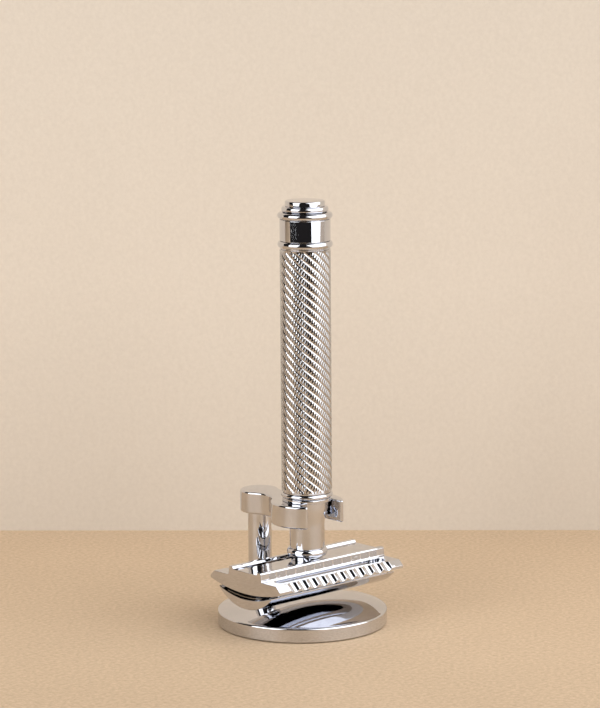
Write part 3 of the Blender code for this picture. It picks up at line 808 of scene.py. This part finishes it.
def make_grip(looks):
    """The knurled tube. Two crossing sets of helical grooves leave slanted blocks; the mesh follows them."""
    circumference = math.tau * GRIP_R
    slow_starts = 15
    fast_starts = 50
    slow_rise = 2.14 * MM  # spacing of the shallow grooves, measured upwards
    fast_gap = circumference / fast_starts
    slow_slope = slow_rise * slow_starts / circumference
    fast_slope = math.tan(math.radians(69.5))
    fast_rise = fast_gap * fast_slope
    slow_width = 0.36
    fast_width = 0.50
    slow_depth = 0.17 * MM
    fast_depth = 0.09 * MM
    slow_lines = [0.0, 0.5 * slow_width - 0.02, 0.5 * slow_width + 0.03, 0.5,
                  1 - 0.5 * slow_width - 0.03, 1 - 0.5 * slow_width + 0.02]
    fast_lines = [0.0, 0.5 * fast_width - 0.03, 0.5 * fast_width + 0.05,
                  1 - 0.5 * fast_width - 0.05, 1 - 0.5 * fast_width + 0.03]
    low = GRIP_LOW + 0.55 * MM
    high = GRIP_TOP - 0.30 * MM

    def groove(t, width, depth):
        """Depth of a groove at lattice place t, where whole numbers are groove centres."""
        off = np.abs(t - np.round(t))
        slope = np.clip(1 - off / (width / 2), -1.0, 1.0)
        soft = 0.06
        return depth * (slope + np.sqrt(slope ** 2 + soft ** 2)) / 2

    columns = fast_starts * len(fast_lines)
    margin = 1.0 * MM
    total = slow_slope + fast_slope
    span = int(math.ceil((high - low + 2 * margin) * total / (slow_rise * fast_slope))) + 2
    rows_per = len(slow_lines)
    fast_t = np.array([j + f for j in range(fast_starts) for f in fast_lines])
    lowest = (low - margin) * total / (slow_rise * fast_slope)
    start = np.floor(lowest + fast_t * fast_rise * slow_slope / (slow_rise * fast_slope)).astype(int)
    count = (span + 1) * rows_per
    s_steps = np.array([i + f for i in range(span + 1) for f in slow_lines])
    s = start[:, None] + s_steps[None, :]
    t = np.repeat(fast_t[:, None], count, axis=1)
    theta = (s * slow_rise + t * fast_rise) / (GRIP_R * total)
    z = (s * slow_rise * fast_slope - t * fast_rise * slow_slope) / total
    depth = np.maximum(groove(s, slow_width, slow_depth), groove(t, fast_width, fast_depth))
    run_out = 0.25 * MM
    fade_high = np.clip((high + 0.05 * MM - z) / run_out, 0, 1)
    fade_low = np.clip((z - low + 0.05 * MM) / run_out, 0, 1)
    fade = fade_high * fade_low
    r = GRIP_R - depth * fade
    verts = np.stack([r * np.cos(theta), AXIS_Y + r * np.sin(theta), z], axis=2).reshape(-1, 3)
    faces = []
    for c in range(columns):
        other = (c + 1) % columns
        wrap = slow_starts if c == columns - 1 else 0
        # the same shallow groove has a different row number in the next column
        shift = (start[c] - wrap - start[other]) * rows_per
        first = max(0, -shift)
        last = min(count - 1, count - 1 - shift)
        for i in range(first, last):
            a = c * count + i
            b = other * count + i + shift
            faces.append((a, b, b + 1, a + 1))
    grip = new_object("knurled_grip", verts, faces)
    # how far into a fine slot each point lies; the material paints shade there by this amount
    in_fast = np.clip(1.2 * groove(t, fast_width, 1.0), 0, 0.85)
    off_slow = np.clip(1 - 1.6 * groove(s, slow_width, 1.0), 0, 1)
    slot = grip.data.attributes.new("slot", "FLOAT", "POINT")
    slot.data.foreach_set("value", (in_fast * off_slow * fade).reshape(-1))
    bm = bmesh.new()
    bm.from_mesh(grip.data)
    for height, up in ((low, -1), (high, 1)):
        geometry = list(bm.verts) + list(bm.edges) + list(bm.faces)
        bmesh.ops.bisect_plane(bm, geom=geometry, dist=1e-7, plane_co=(0, 0, height),
                               plane_no=(0, 0, up), clear_outer=True)
    loose = [v for v in bm.verts if not v.link_faces]
    bmesh.ops.delete(bm, geom=loose, context="VERTS")
    rims = [
        (low, [(GRIP_R, low), (GRIP_R, GRIP_LOW + 0.16 * MM), (GRIP_R - 0.14 * MM, GRIP_LOW + 0.02 * MM)]),
        (high, [(GRIP_R, high), (GRIP_R, GRIP_TOP - 0.12 * MM), (GRIP_R - 0.12 * MM, GRIP_TOP)]),
    ]
    for height, steps in rims:
        edges = [e for e in bm.edges if e.is_boundary and abs(e.verts[0].co.z - height) < 1e-6]
        inner = GRIP_R - 1.4 * MM
        for radius, level in steps[1:] + [(inner, steps[-1][1])]:
            made = bmesh.ops.extrude_edge_only(bm, edges=edges)["geom"]
            edges = [g for g in made if isinstance(g, bmesh.types.BMEdge)]
            for v in [g for g in made if isinstance(g, bmesh.types.BMVert)]:
                flat = Vector((v.co.x, v.co.y - AXIS_Y))
                flat = flat.normalized() * radius
                v.co = (flat.x, flat.y + AXIS_Y, level)
    bmesh.ops.recalc_face_normals(bm, faces=bm.faces)
    bm.to_mesh(grip.data)
    bm.free()
    piece(grip, "handle", ["grip_tube"], looks["grip"], sharp=32)


def make_end(looks):
    inner = 3.3 * MM
    shoulder_r = 6.2 * MM
    lower = [(inner, GRIP_TOP + 0.02 * MM), (shoulder_r, GRIP_TOP + 0.02 * MM)]
    lower += [(shoulder_r + 0.05 * MM, GRIP_TOP + 0.3 * MM)]
    lower += bead(BEAD_R, 0.8 * MM, GRIP_TOP + 0.32 * MM, RING_TOP)
    lower += [(inner, RING_TOP + 0.02 * MM)]
    piece(lathe("ring_below_band", lower, closed=True), "handle", ["lower_ring"], looks["chrome"])

    band = rounded([
        (inner, RING_TOP + 0.05 * MM),
        (BAND_R, RING_TOP + 0.05 * MM, 0.12 * MM),
        (BAND_R, BAND_TOP + 0.1 * MM, 0.12 * MM),
        (inner, BAND_TOP + 0.1 * MM),
    ], closed=True, steps=4)
    piece(lathe("band", band, closed=True, segments=192), "handle", ["end_band"], looks["chrome"])

    upper = [(inner, BAND_TOP + 0.14 * MM), (shoulder_r, BAND_TOP + 0.14 * MM)]
    upper += bead(BEAD_R, 0.85 * MM, UPPER_LOW + 0.02 * MM, UPPER_TOP)
    upper += [(inner, UPPER_TOP + 0.02 * MM)]
    piece(lathe("ring_above_band", upper, closed=True), "handle", ["upper_ring"], looks["chrome"])

    step_r = 6.0 * MM
    step_top = 108.85 * MM
    disc_r = 5.1 * MM
    knob = [(0, UPPER_TOP + 0.06 * MM), (step_r - 0.4 * MM, UPPER_TOP + 0.06 * MM)]
    knob += bead(step_r, 0.45 * MM, UPPER_TOP + 0.08 * MM, step_top)
    knob += rounded([
        (disc_r - 0.12 * MM, step_top + 0.01 * MM),
        (disc_r, step_top + 0.14 * MM, 0.1 * MM),
        (disc_r, KNOB_TOP, 0.35 * MM),
        (0, KNOB_TOP),
    ], steps=7)
    piece(lathe("end_cap", knob), "handle", ["end_knob"], looks["chrome"])


def dress_hidden_nodes(looks):
    """Screws, pins and rods keep their CAD shape and get a worked-metal look."""
    for node, look, slot in (
        ("base_screw", "steel", "steel"),
        ("fork_stud", "steel", "steel"),
        ("tie_rod", "steel", "steel"),
        ("thread_insert", "brass", "brass"),
        ("cap_pin_left", "chrome", "chrome"),
        ("cap_pin_right", "chrome", "chrome"),
    ):
        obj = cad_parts[node]
        obj.data.materials.clear()
        obj.data.materials.append(looks[look])
        obj.data.shade_smooth()
        obj.data.set_sharp_from_angle(angle=math.radians(35))


# ---------------------------------------------------------------- stage

FLOOR_FRONT = -250 * MM
FLOOR_BACK = 1300 * MM
FLOOR_SIDE = 1400 * MM
WALL_BEHIND = 105.6 * MM
WALL_TURN = -0.029  # the card's left end stands a little farther back
WALL_HEIGHT = 260 * MM
WALL_SIDE = 700 * MM
SURROUND_R = 6.0


def quad(name, corners):
    obj = new_object(name, corners, [(0, 1, 2, 3)])
    return obj


def matte(name, dark, light, grain_scale, relief, roughness, gloss=0.3):
    nodes = Nodes(name)
    grain = nodes.noise(nodes.coordinates(), grain_scale, 8.0, 0.62)
    cloud = nodes.noise(nodes.coordinates(), 9.0, 3.0, 0.5)
    mix = nodes.math("ADD", nodes.math("MULTIPLY", grain, 0.75), nodes.math("MULTIPLY", cloud, 0.25))
    nodes.link(nodes.blend(nodes.spread(mix, 0.35, 0.65, 0.0, 1.0), dark, light),
               nodes.shader.inputs["Base Color"])
    nodes.shader.inputs["Roughness"].default_value = roughness
    nodes.shader.inputs["Specular IOR Level"].default_value = gloss
    nodes.bump(grain, relief)
    return nodes


def fade(nodes, direction, start, end, dark):
    """Paints shade: darkens the colour smoothly from start to end along a direction."""
    along = nodes.add("ShaderNodeVectorMath", operation="DOT_PRODUCT")
    along.inputs[1].default_value = direction
    nodes.link(nodes.coordinates(), along.inputs[0])
    base = nodes.shader.inputs["Base Color"]
    mix = nodes.add("ShaderNodeMixRGB", blend_type="MULTIPLY")
    mix.inputs["Fac"].default_value = 1.0
    nodes.link(base.links[0].from_socket, mix.inputs["Color1"])
    nodes.link(nodes.spread(along.outputs["Value"], start, end, 1.0, dark), mix.inputs["Color2"])
    nodes.link(mix.outputs["Color"], base)


def one_sided(nodes):
    """Lets the far side of the backdrop be looked through, so that the razor shows from behind too."""
    geometry = nodes.add("ShaderNodeNewGeometry")
    clear = nodes.add("ShaderNodeBsdfTransparent")
    mix = nodes.add("ShaderNodeMixShader")
    out = nodes.tree.nodes["Material Output"]
    nodes.link(geometry.outputs["Backfacing"], mix.inputs["Fac"])
    nodes.link(nodes.shader.outputs["BSDF"], mix.inputs[1])
    nodes.link(clear.outputs["BSDF"], mix.inputs[2])
    nodes.link(mix.outputs["Shader"], out.inputs["Surface"])


def softbox(name, azimuth, distance, height, size, power, aim, colour=(1.0, 1.0, 1.0)):
    """A rectangular light. azimuth is in degrees from the camera's side, to its right."""
    a = math.radians(azimuth)
    data = bpy.data.lights.new(name, "AREA")
    data.shape = "RECTANGLE"
    data.size, data.size_y = size
    data.energy = power
    data.color = colour
    obj = bpy.data.objects.new(name, data)
    bpy.context.scene.collection.objects.link(obj)
    obj.location = stage_point(distance * math.sin(a), -distance * math.cos(a), height)
    obj.rotation_euler = (Vector(aim) - obj.location).to_track_quat("-Z", "Y").to_euler()
    obj.visible_camera = False
    return obj


def make_stage():
    floor = quad("floor", [
        stage_point(-FLOOR_SIDE, FLOOR_FRONT, 0), stage_point(FLOOR_SIDE, FLOOR_FRONT, 0),
        stage_point(FLOOR_SIDE, FLOOR_BACK, 0), stage_point(-FLOOR_SIDE, FLOOR_BACK, 0),
    ])
    board = matte("tan board", (0.465, 0.340, 0.222), (0.640, 0.478, 0.325), 900.0, 0.00014, 0.6, 0.25)
    # painted shade: the table turns darker towards the camera's right, down to half its colour
    fade(board, RIGHT, 120 * MM, 450 * MM, 0.5)
    floor.data.materials.append(board.material)
    wall = quad("wall", [
        stage_point(side * WALL_SIDE, WALL_BEHIND + side * WALL_SIDE * WALL_TURN, height)
        for side, height in ((-1, 0), (1, 0), (1, WALL_HEIGHT), (-1, WALL_HEIGHT))
    ])
    paper = matte("beige card", (0.68, 0.595, 0.500), (0.73, 0.645, 0.545), 900.0, 0.00003, 0.8, 0.2)
    # painted shade: the card turns darker towards its foot, by 13 % over its lowest 75 mm
    fade(paper, (0.0, 0.0, -1.0), -75 * MM, 0.0, 0.87)
    one_sided(paper)
    wall.data.materials.append(paper.material)

    aim = stage_point(0, 0, 40 * MM)
    softbox("right softbox", 70, 0.90, 0.55, (2.20, 1.60), 27.0, aim)
    softbox("left softbox", -52, 0.90, 0.42, (0.72, 0.95), 6.0, aim)
    # Fills the table and the card. It is kept out of reflections, so the chrome doesn't mirror it.
    fill = softbox("room light", 0, 0.35, 1.30, (2.4, 1.6), 8.0, aim, (1.0, 0.985, 0.96))
    fill.visible_glossy = False

    world = bpy.data.worlds.new("dark studio")
    world.use_nodes = True
    world.node_tree.nodes["Background"].inputs["Color"].default_value = (0.020, 0.018, 0.018, 1.0)
    world.node_tree.nodes["Background"].inputs["Strength"].default_value = 1.0
    bpy.context.scene.world = world

    dome = room_dome()
    dome.visible_glossy = False
    dome.visible_diffuse = False
    dome.visible_shadow = False
    dome.visible_transmission = False


def room_dome():
    """A far beige surround that only the camera sees. It fills the background of the other views."""
    bm = bmesh.new()
    bmesh.ops.create_uvsphere(bm, u_segments=48, v_segments=24, radius=SURROUND_R)
    mesh = bpy.data.meshes.new("surround")
    bm.to_mesh(mesh)
    bm.free()
    obj = bpy.data.objects.new("surround", mesh)
    bpy.context.scene.collection.objects.link(obj)
    nodes = Nodes("surround")
    glow = nodes.add("ShaderNodeEmission")
    glow.inputs["Color"].default_value = (0.74, 0.62, 0.48, 1.0)
    nodes.link(glow.outputs["Emission"], nodes.tree.nodes["Material Output"].inputs["Surface"])
    mesh.materials.append(nodes.material)
    return obj


def make_camera():
    data = bpy.data.cameras.new("camera")
    data.lens = CAMERA_LENS
    data.sensor_width = 36.0
    data.clip_start = 0.02
    data.clip_end = 50.0
    camera = bpy.data.objects.new("camera", data)
    bpy.context.scene.collection.objects.link(camera)
    camera.location = stage_point(CAMERA_SIDE, -CAMERA_BACK, CAMERA_HEIGHT)
    look = AWAY * math.cos(CAMERA_DOWN) - Vector((0, 0, math.sin(CAMERA_DOWN)))
    camera.rotation_mode = "QUATERNION"
    camera.rotation_quaternion = look.to_track_quat("-Z", "Y") @ Quaternion((0, 0, 1), CAMERA_ROLL)
    bpy.context.scene.camera = camera


looks = make_materials()
make_stand(looks)
make_head(looks)
make_neck(looks)
make_grip(looks)
make_end(looks)
dress_hidden_nodes(looks)
make_stage()
make_camera()
bpy.context.scene.view_settings.view_transform = "Standard"
bpy.context.view_layer.update()
